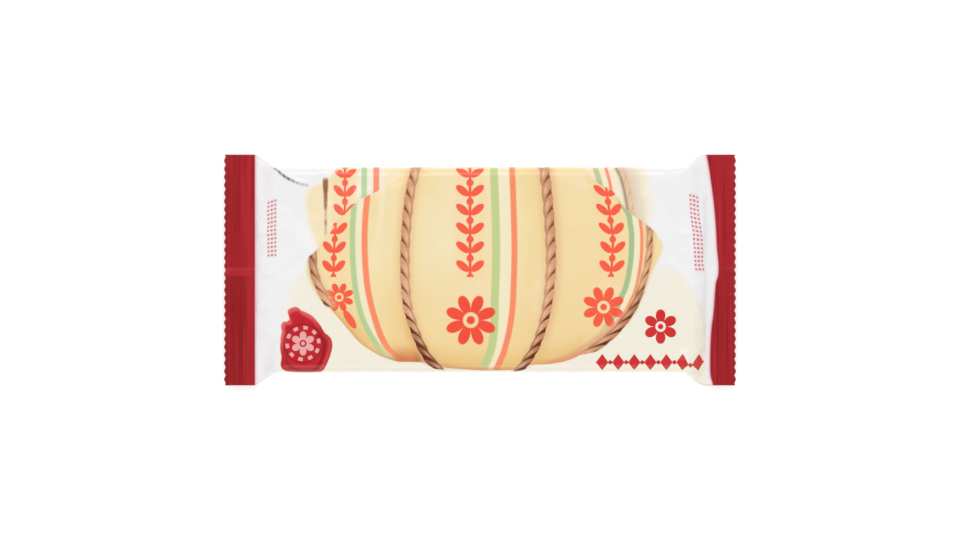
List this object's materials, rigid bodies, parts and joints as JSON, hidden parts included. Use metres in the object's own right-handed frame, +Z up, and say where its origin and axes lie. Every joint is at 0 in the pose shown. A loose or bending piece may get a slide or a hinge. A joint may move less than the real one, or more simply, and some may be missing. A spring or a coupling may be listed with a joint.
{
  "type": "flow-wrapped cheese pack",
  "caption": "Shut flow-wrap pack of provolone: a flat film pillow round a half-moon slice, with gusseted ends, ribbed end seals and serrated edges.",
  "frame": {"origin": "middle of the flat back, on the surface that the pack lies on", "axes": "+X along the pack from one end seal to the other, +Y across it towards the round side of the slice inside, +Z up out of the printed front"},
  "size_m": [0.256, 0.1156, 0.0155],
  "materials": {
    "printed_film": "smooth glossy packing film, printed in white, cream, pale yellow, green and dark red"
  },
  "bodies": {
    "root": {"flow_pack": "printed_film"}
  },
  "joints": []
}
